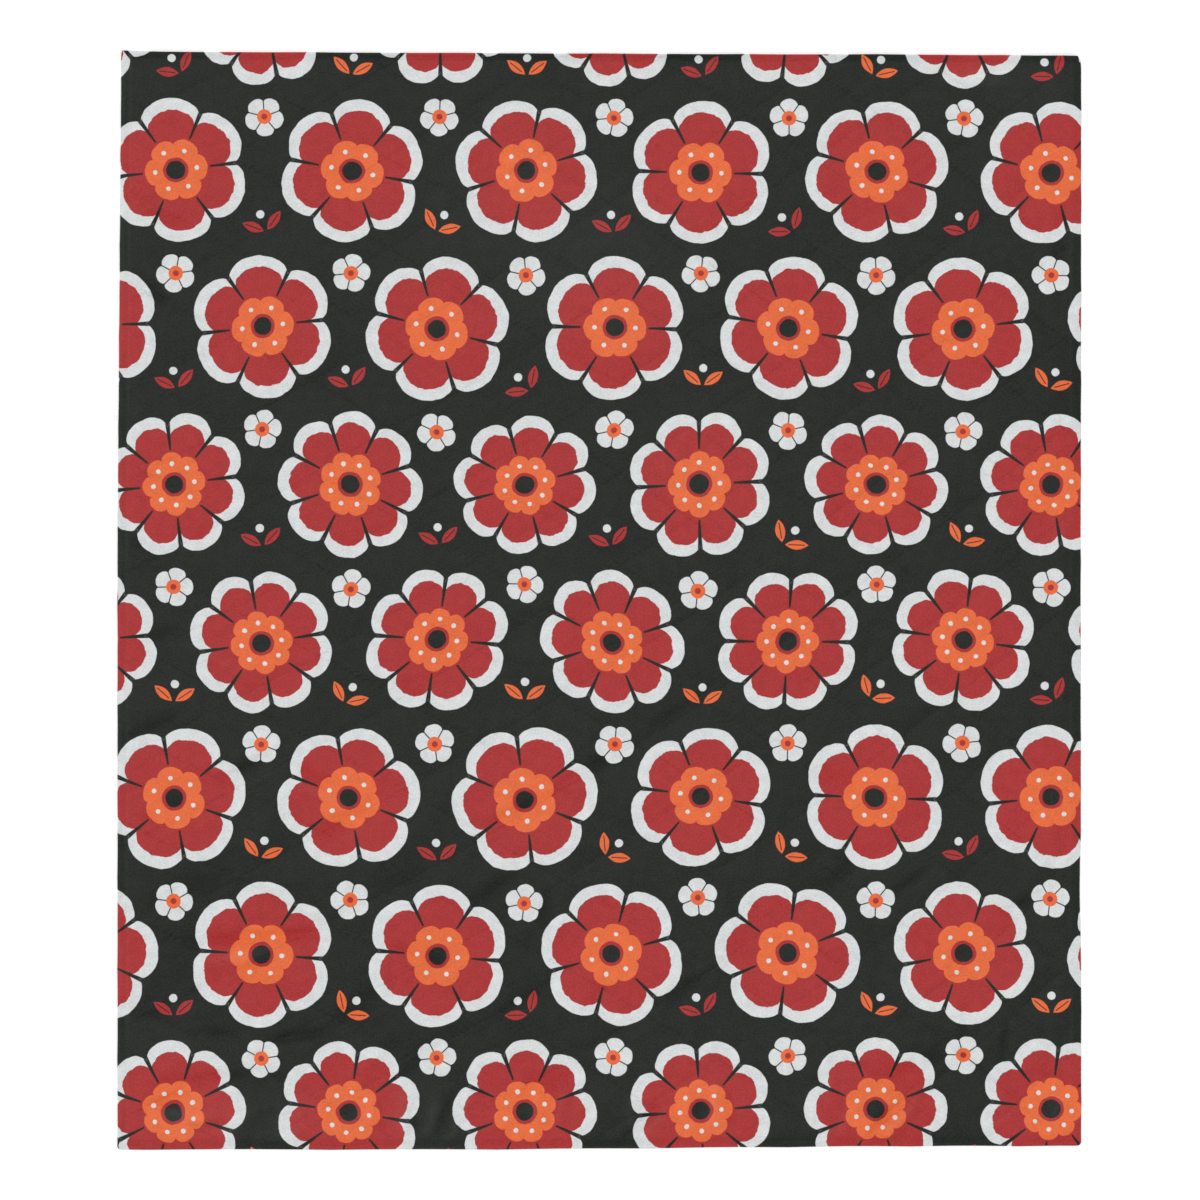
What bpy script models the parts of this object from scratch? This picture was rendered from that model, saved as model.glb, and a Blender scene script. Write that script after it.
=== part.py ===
"""Diamond quilted bed quilt, laid flat with its printed face up.

Metres, +Z up. The origin is the middle of the flat underside, +X runs to the quilt's right side
and +Y to its top edge. The cloth, its turned hem and its stitched diamonds are one solid.
"""
import math

import bmesh
import bpy

WIDTH = 1.778
LENGTH = 2.027

# Stitching runs in two slanting families. One step is half a diamond, across or up, and lines cross
# where the two step counts add up to an even number.
STEPS_ACROSS = 41 / 3
STEPS_UP = 73 / 3
FIRST_STEP_ACROSS = 2 / 3
FIRST_STEP_UP = 0.0
FACES_PER_STEP = 3
# Diamonds are wider at the left side and narrower at the right, most of all along the bottom edge.
SPREAD_BOTTOM = 0.36
SPREAD_TOP = 0.16
# The stitched lines wander a little from side to side.
WANDER_ACROSS = 0.006
WANDER_UP = 0.008
WANDER_WAVES = 3.0

SEAM_HEIGHT = 0.0038
PUFF_RISE_TOP = 0.0040
PUFF_RISE_BOTTOM = 0.0056
PUFF_UNEVEN = 0.2
PUFF_ROUNDNESS = 0.6
PUFF_START = 0.050
# Height of the cloth beside the hem, before its diamonds begin, and of its thinnest place.
PADDED_HEIGHT = 0.0062
THINNEST = 0.0014

# From the edge to the hem's stitches.
HEM_WIDTH = {"left": 0.0155, "right": 0.018, "bottom": 0.018, "top": 0.013}
# Height beside each edge: distance from the edge, and share of the height further in. The grid has
# a line at each distance but the last.
HEM_SHAPE = {
    "left": (
        (0.0, 0.42), (0.0015, 0.80), (0.004, 0.93), (0.010, 0.90), (0.0155, 0.84), (0.024, 1.18),
        (0.080, 1.0),
    ),
    "right": (
        (0.0, 0.20), (0.003, 0.35), (0.007, 0.68), (0.012, 1.00), (0.018, 1.12), (0.023, 1.19), (0.090, 1.0),
    ),
    "bottom": (
        (0.0, 0.24), (0.004, 0.29), (0.008, 0.60), (0.013, 0.93), (0.018, 1.10), (0.022, 1.17), (0.090, 1.0),
    ),
    "top": (
        (0.0, 0.90), (0.0015, 1.24), (0.005, 1.16), (0.010, 0.84), (0.014, 0.68), (0.021, 0.68), (0.090, 1.0),
    ),
}
# Where a stitched line meets the hem, the edge is drawn in by this much.
EDGE_DRAW_IN = 0.0012

# How far each corner stands inside the full width and length, and how far it is rounded each way.
CORNERS = {
    "bottom_left": {"in_x": 0.0, "in_y": 0.0, "round_x": 0.007, "round_y": 0.006},
    "bottom_right": {"in_x": 0.0, "in_y": 0.0065, "round_x": 0.008, "round_y": 0.008},
    "top_left": {"in_x": 0.0070, "in_y": 0.0022, "round_x": 0.004, "round_y": 0.004},
    "top_right": {"in_x": 0.0, "in_y": 0.0097, "round_x": 0.007, "round_y": 0.024},
}
# The left side leans in above this share of its length, and the bottom one lifts between these two.
LEAN_FROM = 0.55
LIFT_FROM = 0.3
LIFT_TO = 0.9
# Shallow dips of the edges: side, place along it, reach along it and how far in. Less than 0 is out.
EDGE_DIPS = (
    ("right", 0.50, 0.20, 0.0010),
    ("right", 0.235, 0.045, 0.0024),
    ("top", 0.0, 0.020, -0.0020),
    ("top", 0.80, 0.08, -0.0008),
)

UNDERSIDE_REACH = 0.6

CLOTH_COLOUR = (0.028, 0.032, 0.028, 1.0)
CLOTH_ROUGHNESS = 0.85


def clear_scene():
    for found in list(bpy.data.objects):
        bpy.data.objects.remove(found, do_unlink=True)


def cloth_material():
    material = bpy.data.materials.new("printed_cloth")
    material.use_nodes = True
    shader = material.node_tree.nodes["Principled BSDF"]
    shader.inputs["Base Color"].default_value = CLOTH_COLOUR
    shader.inputs["Roughness"].default_value = CLOTH_ROUGHNESS
    shader.inputs["Metallic"].default_value = 0.0
    return material


def spread_at(up):
    return SPREAD_BOTTOM + (SPREAD_TOP - SPREAD_BOTTOM) * up


def across_of_step(share, up):
    """Place across the quilt, 0 to 1, of a share of the steps across."""
    return share + spread_at(up) * share * (1 - share)


def step_of_across(across, up):
    """Share of the steps across at a place across the quilt, the other way round."""
    spread = spread_at(up)
    return ((1 + spread) - math.sqrt((1 + spread) ** 2 - 4 * spread * across)) / (2 * spread)


def lattice_at(across, up):
    """Step counts across and up at a place on the quilt."""
    steps = FIRST_STEP_ACROSS + STEPS_ACROSS * step_of_across(across, up)
    return steps, FIRST_STEP_UP + STEPS_UP * up


def grid_lines(steps, size, first_side, last_side):
    """(kind, value) of each grid line: hem lines as a share of the size, others as a share of the steps."""
    lines = [("hem", distance / size) for distance, _ in HEM_SHAPE[first_side][:-1]]
    count = round(steps * FACES_PER_STEP)
    lines += [("step", k / count) for k in range(1, count)]
    lines += [("hem", 1 - distance / size) for distance, _ in reversed(HEM_SHAPE[last_side][:-1])]
    return lines


def side_distances(across, up):
    return {
        "left": across * WIDTH,
        "right": (1 - across) * WIDTH,
        "bottom": up * LENGTH,
        "top": (1 - up) * LENGTH,
    }


def inside_hem(across, up):
    """0 at the edge and 1 on the hem's stitches, by the nearest side."""
    return min(distance / HEM_WIDTH[side] for side, distance in side_distances(across, up).items())


def share_at(points, distance):
    """Height share at a distance from an edge, on straight lines between the points."""
    for (near, one), (far, other) in zip(points, points[1:]):
        if distance < far:
            return between(one, other, (distance - near) / (far - near))
    return points[-1][1]


def smooth(value):
    value = min(max(value, 0.0), 1.0)
    return value * value * (3 - 2 * value)


def puff_rise(rising, falling, up):
    """Rise of one diamond: lower towards the top edge, and no two neighbours alike."""
    uneven = math.sin(2.3 * rising + 1.1 * falling) + 0.6 * math.sin(0.9 * rising - 2.9 * falling)
    even = PUFF_RISE_BOTTOM + (PUFF_RISE_TOP - PUFF_RISE_BOTTOM) * up
    return even * (1 + PUFF_UNEVEN * uneven / 1.6)


def height_at(across, up):
    """Height of the printed face over the floor."""
    steps_across, steps_up = lattice_at(across, up)
    rising = (steps_up - steps_across) / 2
    falling = (steps_up + steps_across) / 2
    pillow = abs(math.sin(math.pi * rising) * math.sin(math.pi * falling)) ** PUFF_ROUNDNESS
    rise = puff_rise(math.floor(rising), math.floor(falling), up)
    start, edge = 1.0, 1.0
    for side, distance in side_distances(across, up).items():
        start *= smooth((distance - HEM_WIDTH[side]) / PUFF_START)
        edge *= share_at(HEM_SHAPE[side], distance)
    height = between(PADDED_HEIGHT, SEAM_HEIGHT + rise * pillow, start) * edge
    return max(THINNEST, height)


def wandered(across, up):
    """The place again, moved as the lines wander. The edges stay where they are."""
    fade = math.sin(math.pi * across) * math.sin(math.pi * up)
    turn = 2 * math.pi * WANDER_WAVES
    shift_x = WANDER_ACROSS * math.sin(turn * up + 0.7) * math.cos(0.6 * turn * across)
    shift_y = WANDER_UP * math.sin(0.8 * turn * across + 1.9) * math.cos(0.7 * turn * up)
    return across + fade * shift_x / WIDTH, up + fade * shift_y / LENGTH


def between(one, other, share):
    return one * (1 - share) + other * share


def dipped(side, place):
    rows = [row for row in EDGE_DIPS if row[0] == side]
    return sum(inward * math.exp(-((place - at) / reach) ** 2) for _, at, reach, inward in rows)


def outline_place(across, up):
    """Point on the floor for a place on the quilt: the four corners set the sides."""
    lean = max(0.0, (up - LEAN_FROM) / (1 - LEAN_FROM))
    lift = smooth((across - LIFT_FROM) / (LIFT_TO - LIFT_FROM))
    left = between(CORNERS["bottom_left"]["in_x"], CORNERS["top_left"]["in_x"], lean)
    right = between(CORNERS["bottom_right"]["in_x"], CORNERS["top_right"]["in_x"], up) + dipped("right", up)
    bottom = between(CORNERS["bottom_left"]["in_y"], CORNERS["bottom_right"]["in_y"], lift)
    top = between(CORNERS["top_left"]["in_y"], CORNERS["top_right"]["in_y"], across) + dipped("top", across)
    x = between(left - WIDTH / 2, WIDTH / 2 - right, across)
    y = between(bottom - LENGTH / 2, LENGTH / 2 - top, up)
    return x, y


def rounded(x, y):
    """The point again, drawn onto its corner's arc where it lies past one."""
    side_x = 1 if x > 0 else -1
    side_y = 1 if y > 0 else -1
    corner = CORNERS[("top" if y > 0 else "bottom") + ("_right" if x > 0 else "_left")]
    centre_x = side_x * (WIDTH / 2 - corner["in_x"] - corner["round_x"])
    centre_y = side_y * (LENGTH / 2 - corner["in_y"] - corner["round_y"])
    out_x = side_x * (x - centre_x) / corner["round_x"]
    out_y = side_y * (y - centre_y) / corner["round_y"]
    if out_x <= 0 or out_y <= 0:
        return x, y
    shrink = max(out_x, out_y) / math.hypot(out_x, out_y)
    x = centre_x + side_x * corner["round_x"] * out_x * shrink
    y = centre_y + side_y * corner["round_y"] * out_y * shrink
    return x, y


def drawn_in(x, y, across, up):
    """The point again, drawn in beside the hem where a stitched line ends."""
    steps_across, steps_up = lattice_at(across, up)
    near_line = max(
        abs(math.cos(math.pi * (steps_up - steps_across) / 2)),
        abs(math.cos(math.pi * (steps_up + steps_across) / 2)),
    )
    amount = EDGE_DRAW_IN * near_line * (1 - smooth(inside_hem(across, up)))
    return x * (1 - 2 * amount / WIDTH), y * (1 - 2 * amount / LENGTH)


def face_grid(bm):
    """Rows of points over the printed face, from the bottom edge to the top one."""
    rows = []
    columns = grid_lines(STEPS_ACROSS, WIDTH, "left", "right")
    for _, up in grid_lines(STEPS_UP, LENGTH, "bottom", "top"):
        row = []
        for kind, value in columns:
            across = value if kind == "hem" else across_of_step(value, up)
            x, y = rounded(*outline_place(*wandered(across, up)))
            x, y = drawn_in(x, y, across, up)
            row.append((bm.verts.new((x, y, height_at(across, up))), lattice_at(across, up)))
        rows.append(row)
    return rows


def skin_face(bm, rows):
    """Two triangles a cell, split along the stitched line that crosses the cell's step."""
    for below, above in zip(rows, rows[1:]):
        for k in range(len(below) - 1):
            (low_left, start), (low_right, _) = below[k], below[k + 1]
            (high_left, _), (high_right, end) = above[k], above[k + 1]
            middle = [(a + b) / 2 for a, b in zip(start, end)]
            if (math.floor(middle[0]) + math.floor(middle[1])) % 2 == 0:
                bm.faces.new((low_left, low_right, high_right))
                bm.faces.new((low_left, high_right, high_left))
            else:
                bm.faces.new((low_left, low_right, high_left))
                bm.faces.new((low_right, high_right, high_left))


def rim_of(rows):
    """Points round the edge of the printed face, counterclockwise from the bottom left corner."""
    bottom = [point for point, _ in rows[0]]
    right = [row[-1][0] for row in rows[1:]]
    top = [point for point, _ in reversed(rows[-1][:-1])]
    left = [row[0][0] for row in reversed(rows[1:-1])]
    return bottom + right + top + left


def close_underside(bm, rim):
    """The edge of the hem, then a flat underside: one large middle face and a fan to each corner of it."""
    floor_rim = [bm.verts.new((point.co.x, point.co.y, 0.0)) for point in rim]
    middle = {}
    for side_x, side_y in ((-1, -1), (1, -1), (1, 1), (-1, 1)):
        reach = (side_x * UNDERSIDE_REACH * WIDTH / 2, side_y * UNDERSIDE_REACH * LENGTH / 2, 0.0)
        middle[(side_x, side_y)] = bm.verts.new(reach)

    def fan_corner(one, other):
        side_x = 1 if one.co.x + other.co.x > 0 else -1
        side_y = 1 if one.co.y + other.co.y > 0 else -1
        return middle[(side_x, side_y)]

    for k, point in enumerate(floor_rim):
        before = floor_rim[k - 1]
        after = floor_rim[(k + 1) % len(floor_rim)]
        bm.faces.new((rim[k - 1], before, point, rim[k]))
        here, onward = fan_corner(before, point), fan_corner(point, after)
        bm.faces.new((point, before, here))
        if onward is not here:
            bm.faces.new((point, here, onward))
    bm.faces.new(list(middle.values()))
    bmesh.ops.recalc_face_normals(bm, faces=bm.faces)


def build_quilt():
    bm = bmesh.new()
    rows = face_grid(bm)
    skin_face(bm, rows)
    close_underside(bm, rim_of(rows))
    mesh = bpy.data.meshes.new("quilt")
    bm.to_mesh(mesh)
    bm.free()
    mesh.shade_smooth()
    mesh.set_sharp_from_angle(angle=math.radians(50))
    quilt = bpy.data.objects.new("quilt", mesh)
    quilt.data.materials.append(cloth_material())
    bpy.context.scene.collection.objects.link(quilt)
    return quilt


clear_scene()
build_quilt()
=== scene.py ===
import math

import bpy
import numpy as np
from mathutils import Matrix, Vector, noise


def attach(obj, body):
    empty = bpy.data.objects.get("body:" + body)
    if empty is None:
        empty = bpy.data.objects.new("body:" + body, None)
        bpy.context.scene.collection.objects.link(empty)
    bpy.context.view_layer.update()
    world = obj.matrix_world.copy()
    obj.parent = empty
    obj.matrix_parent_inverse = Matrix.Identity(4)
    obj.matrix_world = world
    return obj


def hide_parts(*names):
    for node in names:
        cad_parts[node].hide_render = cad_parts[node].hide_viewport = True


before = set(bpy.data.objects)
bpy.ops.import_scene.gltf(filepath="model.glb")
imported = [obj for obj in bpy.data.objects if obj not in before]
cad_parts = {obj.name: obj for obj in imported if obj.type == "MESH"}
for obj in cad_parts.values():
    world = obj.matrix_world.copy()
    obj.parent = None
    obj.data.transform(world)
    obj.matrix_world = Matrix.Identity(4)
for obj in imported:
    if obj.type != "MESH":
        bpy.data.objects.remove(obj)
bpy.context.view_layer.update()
print("frame loaded")

# Sizes of the quilt itself, in metres. Heights are over the floor.
quilt = {
    "width": 1.778,
    "length": 2.027,
    "hem": {"left": 0.0155, "right": 0.018, "bottom": 0.018, "top": 0.013},  # edge to stitches
    "thinnest": 0.0014,
    "padded": 0.0062,  # height of the cloth beside the hem, before its diamonds begin
    "drawIn": 0.0012,  # the edge, where a stitched line meets the hem
    "seam": 0.0038,
    "puffTop": 0.0036,  # how far the diamonds rise over their seams
    "puffBottom": 0.0059,
    "puffUneven": 0.2,
    "puffRoundness": 0.75,
    "grooveDepth": 0.0005,  # the thread's own groove
    "grooveWidth": 0.0022,
    "puffStart": 0.060,
    "shallowest": 0.35,  # depth of the faintest and the deepest stretch of a stitched line, as a share
    "deepest": 1.15,
    "linePitch": 0.141,  # between two neighbouring stitched lines of one slant
    "diamondSide": 0.155,
    "softTrough": 0.0008,  # how softly deep troughs level out over the floor
    "stillHem": 0.8,  # share of the hem over which the unevenness sets in
    "meshPerStep": 15,
    "marginSteps": 5,
    "marginLines": 3,
}

# The stitched diamonds. One step is half a diamond, and lines cross where the two counts add up to
# an even number. Diamonds are wider at the left side, most of all along the bottom.
stitching = {
    "across": 41 / 3,
    "up": 73 / 3,
    "firstAcross": 2 / 3,
    "firstUp": 0.0,
    "spreadBottom": 0.36,
    "spreadTop": 0.16,
    "wanderAcross": 0.006,
    "wanderUp": 0.008,
    "wanderWaves": 3.0,
    "wanderStarts": (0.7, 1.9),  # where each direction's waves begin, in radians
    "wanderSlower": (0.6, 0.8, 0.7),  # and how much slower they run the other way
}

# Two waves over the rows of diamonds, so that no two neighbours are alike: turns along either count
# of lines, and strength.
puffWaves = ((2.3, 1.1, 1.0), (0.9, -2.9, 0.6))

# Where the stitched lines sink deep and where hardly at all: a broad patchiness and a finer one.
patches = {
    "scale": 0.105,
    "seed": 11.3,
    "fineScale": 0.03,
    "fineSeed": 4.9,
    "fineShare": 0.4,
    "middle": 0.56,
    "contrast": 1.1,
}

# How far each corner stands inside the full width and length, and how far round it is each way.
corners = {
    "bottomLeft": {"inX": 0.0, "inY": 0.0, "roundX": 0.007, "roundY": 0.006},
    "bottomRight": {"inX": 0.0, "inY": 0.0065, "roundX": 0.008, "roundY": 0.008},
    "topLeft": {"inX": 0.0070, "inY": 0.0022, "roundX": 0.004, "roundY": 0.004},
    "topRight": {"inX": 0.0, "inY": 0.0097, "roundX": 0.007, "roundY": 0.024},
}
# The left side leans in above this share of its length, and the bottom one lifts between these two.
leanFrom = 0.55
liftFrom, liftTo = 0.3, 0.9
# Shallow dips of the edges: side, place along it, reach along it and how far in. Less than 0 is out.
edgeDips = (
    ("right", 0.50, 0.20, 0.0010),
    ("right", 0.235, 0.045, 0.0024),
    ("top", 0.0, 0.020, -0.0020),
    ("top", 0.80, 0.08, -0.0008),
)

# Height of the cloth beside each edge: distance from the edge, and share of the height further in.
hemShape = {
    "left": (
        (0, 0.45), (0.0015, 0.85), (0.003, 0.93), (0.009, 0.95), (0.0145, 0.84),
        (0.0165, 0.87), (0.021, 1.08), (0.025, 1.12), (0.080, 1),
    ),
    "right": (
        (0, 0.20), (0.002, 0.28), (0.005, 0.52), (0.010, 0.90), (0.014, 1.07),
        (0.0175, 1.12), (0.020, 1.14), (0.024, 1.20), (0.090, 1),
    ),
    "bottom": (
        (0, 0.24), (0.0035, 0.27), (0.006, 0.42), (0.010, 0.76), (0.014, 0.98),
        (0.018, 1.10), (0.024, 1.20), (0.030, 1.22), (0.090, 1),
    ),
    "top": (
        (0, 0.90), (0.001, 1.20), (0.0025, 1.28), (0.005, 1.16), (0.010, 0.84),
        (0.014, 0.68), (0.018, 0.66), (0.030, 0.70), (0.090, 1),
    ),
}

# Creases and puckers, placed from the middle of the quilt, in metres and degrees: each is a
# soft ridge, or a soft trough where its rise is negative.
creaseColumns = ("x", "y", "length", "turn", "width", "rise")
creaseStrength = 1.3
creases = [
    # the long fold at the lower left
    (-0.640, -0.622, 0.250, 4, 0.010, -0.0061),
    (-0.655, -0.658, 0.170, 6, 0.015, 0.0049),
    (-0.618, -0.668, 0.100, 38, 0.011, -0.0043),
    # shorter ones round it
    (-0.330, -0.655, 0.130, -16, 0.010, -0.0052),
    (-0.284, -0.682, 0.070, 10, 0.012, 0.0029),
    (-0.822, -0.761, 0.070, 6, 0.010, -0.0043),
    (-0.551, -0.803, 0.110, 10, 0.010, -0.0046),
    (-0.700, -0.800, 0.060, -4, 0.010, -0.0032),
    (-0.520, -0.330, 0.090, -30, 0.014, -0.0043),
    (-0.505, -0.362, 0.100, -28, 0.013, 0.0038),
    (-0.330, -0.180, 0.080, -36, 0.012, -0.0041),
    (-0.100, -0.570, 0.070, 86, 0.009, -0.0038),
    (-0.010, -0.740, 0.080, 60, 0.009, -0.0038),
    # the left side
    (-0.826, 0.095, 0.080, -20, 0.009, -0.0043),
    (-0.830, 0.571, 0.080, -35, 0.009, -0.0043),
    (-0.800, 0.703, 0.080, -18, 0.009, -0.0038),
    (-0.815, -0.068, 0.070, 18, 0.009, -0.0035),
    # the right side
    (0.700, 0.960, 0.110, -6, 0.016, 0.0038),
    (0.850, 0.640, 0.180, 88, 0.012, -0.0032),
    (0.780, -0.560, 0.090, 34, 0.009, -0.0041),
    (0.560, -0.530, 0.110, 38, 0.009, -0.0038),
    # fainter ones, mostly beside the stitched lines of the lower half
    (-0.700, -0.115, 0.140, -28, 0.008, 0.0022),
    (-0.820, -0.235, 0.120, 25, 0.012, -0.0032),
    (-0.800, -0.385, 0.100, 25, 0.012, -0.0030),
    (-0.655, -0.312, 0.110, 30, 0.011, -0.0042),
    (-0.640, -0.337, 0.090, 30, 0.010, 0.0020),
    (-0.475, -0.412, 0.120, 30, 0.014, -0.0042),
    (-0.460, -0.437, 0.090, 30, 0.011, 0.0022),
    (-0.760, -0.535, 0.130, 20, 0.018, -0.0038),
    (-0.360, -0.510, 0.090, 30, 0.013, -0.0034),
    (-0.430, -0.735, 0.110, 35, 0.015, -0.0044),
    (-0.450, -0.765, 0.100, 20, 0.007, -0.0034),
    (-0.730, -0.885, 0.170, 4, 0.013, -0.0040),
    (-0.345, -0.860, 0.090, 40, 0.011, -0.0044),
    (-0.140, -0.385, 0.130, 25, 0.012, -0.0034),
    (-0.200, -0.540, 0.100, 35, 0.015, -0.0038),
    (-0.135, -0.735, 0.110, 30, 0.008, -0.0036),
    (-0.100, -0.895, 0.110, 25, 0.020, -0.0048),
    (-0.020, -0.310, 0.130, 32, 0.010, -0.0034),
    (0.035, -0.285, 0.100, 33, 0.011, -0.0030),
    (0.145, -0.205, 0.150, 35, 0.010, -0.0032),
    (0.430, -0.325, 0.090, -30, 0.013, -0.0034),
    (0.440, -0.500, 0.110, 40, 0.016, -0.0042),
    (0.155, -0.720, 0.080, 40, 0.012, -0.0042),
    (0.580, -0.860, 0.130, 20, 0.018, -0.0038),
    (0.670, -0.790, 0.110, 80, 0.007, -0.0034),
    (0.745, -0.830, 0.110, 86, 0.007, -0.0034),
    (0.850, -0.890, 0.080, -30, 0.012, -0.0034),
    # puckers above the bottom hem, from left to right
    (-0.799, -0.923, 0.080, 16, 0.009, -0.0064),
    (-0.762, -0.951, 0.100, -10, 0.018, 0.0061),
    (-0.720, -0.968, 0.070, 12, 0.007, -0.0038),
    (-0.671, -0.962, 0.070, 40, 0.015, 0.0052),
    (-0.590, -0.955, 0.070, 82, 0.010, 0.0026),
    (-0.555, -0.955, 0.080, 88, 0.009, 0.0032),
    (-0.459, -0.963, 0.090, 22, 0.009, 0.0038),
    (-0.400, -0.950, 0.075, 84, 0.006, -0.0038),
    (-0.363, -0.947, 0.080, 88, 0.009, 0.0058),
    (-0.336, -0.950, 0.070, 80, 0.006, -0.0038),
    (-0.308, -0.955, 0.070, 72, 0.008, 0.0052),
    (-0.284, -0.947, 0.080, 70, 0.006, -0.0058),
    (-0.258, -0.957, 0.085, 66, 0.007, 0.0058),
    (-0.120, -0.935, 0.080, 84, 0.010, 0.0032),
    (-0.096, -0.945, 0.080, 80, 0.006, -0.0029),
    (-0.072, -0.930, 0.080, 78, 0.010, 0.0038),
    (-0.040, -0.950, 0.080, 74, 0.008, 0.0026),
    (0.059, -0.948, 0.070, 86, 0.009, 0.0038),
    (0.076, -0.963, 0.080, 42, 0.006, -0.0064),
    (0.102, -0.968, 0.060, 44, 0.010, 0.0049),
    (0.155, -0.940, 0.060, 85, 0.008, 0.0032),
    (0.184, -0.945, 0.070, 88, 0.006, -0.0038),
    (0.212, -0.930, 0.090, 90, 0.011, 0.0064),
    (0.240, -0.945, 0.070, 96, 0.007, -0.0038),
    (0.419, -0.898, 0.070, 80, 0.010, 0.0032),
    (0.452, -0.962, 0.060, 60, 0.010, 0.0038),
    (0.530, -0.950, 0.080, 44, 0.006, -0.0061),
    (0.550, -0.962, 0.070, 48, 0.009, 0.0049),
    (0.579, -0.925, 0.060, 60, 0.010, 0.0032),
    (0.736, -0.962, 0.060, 30, 0.009, 0.0032),
    (0.843, -0.938, 0.060, 60, 0.009, 0.0032),
]

# Unevenness of the whole cloth, from broad to fine. A creased one folds along lines, the others are
# soft. It is stronger in the lower half.
unevenness = [
    {"scale": 0.30, "rise": 0.0030, "seed": 3.1, "creased": False},
    {"scale": 0.16, "rise": 0.0022, "seed": 8.4, "creased": False},
    {"scale": 0.105, "rise": 0.0018, "seed": 15.2, "creased": True},
    {"scale": 0.045, "rise": 0.0006, "seed": 5.7, "creased": True},
]
unevenLower, unevenUpper = 2.5, 1.0
creasedLevel, creasedFold = 0.3, 2
# The cloth beside the hem stands up a little and waves along the stitches.
hemWaves = {
    "middle": 0.012,
    "reach": 0.040,
    "scale": 0.034,
    "drag": 0.3,  # how much a wave changes on its way inward
    "swell": 0.1,
    "rise": {"bottom": 0.0048, "left": 0.0008, "right": 0.0008, "top": 0.0012},
    "seed": {"bottom": 8.0, "left": 6.0, "right": 7.0, "top": 5.0},
}


def smoothStep(value):
    value = np.clip(value, 0, 1)
    return value * value * (3 - 2 * value)


def between(one, other, share):
    return one * (1 - share) + other * share


def acrossOfStep(share, up):
    spread = between(stitching["spreadBottom"], stitching["spreadTop"], up)
    return share + spread * share * (1 - share)


def stepCounts(across, up):
    spread = between(stitching["spreadBottom"], stitching["spreadTop"], up)
    share = ((1 + spread) - np.sqrt((1 + spread) ** 2 - 4 * spread * across)) / (2 * spread)
    return stitching["firstAcross"] + stitching["across"] * share, stitching["firstUp"] + stitching["up"] * up


def lineCounts(across, up):
    # a whole number in the first is a line that rises to the right, in the second one that falls
    stepsAcross, stepsUp = stepCounts(across, up)
    return (stepsUp - stepsAcross) / 2, (stepsUp + stepsAcross) / 2


def fromSides(across, up):
    width, length = quilt["width"], quilt["length"]
    return {
        "left": across * width,
        "right": (1 - across) * width,
        "bottom": up * length,
        "top": (1 - up) * length,
    }


def insideHem(across, up):
    # 0 at the edge and 1 on the hem's stitches, by the nearest side
    return np.minimum.reduce([far / quilt["hem"][side] for side, far in fromSides(across, up).items()])


def wandered(across, up):
    # the lines sway a little inside the quilt, each direction out of step with the other
    fade = np.sin(np.pi * across) * np.sin(np.pi * up)
    turn = 2 * np.pi * stitching["wanderWaves"]
    startX, startY = stitching["wanderStarts"]
    slowX, slowAlong, slowY = stitching["wanderSlower"]
    shiftX = stitching["wanderAcross"] * np.sin(turn * up + startX) * np.cos(slowX * turn * across)
    shiftY = stitching["wanderUp"] * np.sin(slowAlong * turn * across + startY) * np.cos(slowY * turn * up)
    return across + fade * shiftX / quilt["width"], up + fade * shiftY / quilt["length"]


def dipped(side, place):
    rows = [row for row in edgeDips if row[0] == side]
    return sum(inward * np.exp(-((place - at) / reach) ** 2) for _, at, reach, inward in rows)


def outlinePlace(across, up):
    lean = np.clip((up - leanFrom) / (1 - leanFrom), 0, 1)
    lift = smoothStep((across - liftFrom) / (liftTo - liftFrom))
    left = between(corners["bottomLeft"]["inX"], corners["topLeft"]["inX"], lean)
    right = between(corners["bottomRight"]["inX"], corners["topRight"]["inX"], up) + dipped("right", up)
    bottom = between(corners["bottomLeft"]["inY"], corners["bottomRight"]["inY"], lift)
    top = between(corners["topLeft"]["inY"], corners["topRight"]["inY"], across) + dipped("top", across)
    x = between(left - quilt["width"] / 2, quilt["width"] / 2 - right, across)
    y = between(bottom - quilt["length"] / 2, quilt["length"] / 2 - top, up)
    return x, y


def roundedCorners(x, y):
    for name, corner in corners.items():
        sideX = 1 if "Right" in name else -1
        sideY = 1 if "top" in name else -1
        centreX = sideX * (quilt["width"] / 2 - corner["inX"] - corner["roundX"])
        centreY = sideY * (quilt["length"] / 2 - corner["inY"] - corner["roundY"])
        outX = np.maximum(sideX * (x - centreX) / corner["roundX"], 0)
        outY = np.maximum(sideY * (y - centreY) / corner["roundY"], 0)
        past = (outX > 0) & (outY > 0)
        shrink = np.maximum(outX, outY) / np.where(past, np.hypot(outX, outY), 1)
        x = np.where(past, centreX + sideX * corner["roundX"] * outX * shrink, x)
        y = np.where(past, centreY + sideY * corner["roundY"] * outY * shrink, y)
    return x, y


def floorPlace(across, up):
    # where a place on the cloth lies, seen from above
    x, y = roundedCorners(*outlinePlace(*wandered(across, up)))
    rising, falling = lineCounts(across, up)
    nearLine = np.maximum(abs(np.cos(np.pi * rising)), abs(np.cos(np.pi * falling)))
    amount = quilt["drawIn"] * nearLine * (1 - smoothStep(insideHem(across, up)))
    return x * (1 - 2 * amount / quilt["width"]), y * (1 - 2 * amount / quilt["length"])


def puffRise(rising, falling, up):
    # lower towards the top edge, and no two neighbours alike
    uneven = sum(much * np.sin(one * rising + other * falling) for one, other, much in puffWaves)
    most = sum(much for _, _, much in puffWaves)
    return between(quilt["puffBottom"], quilt["puffTop"], up) * (1 + quilt["puffUneven"] * uneven / most)


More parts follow.
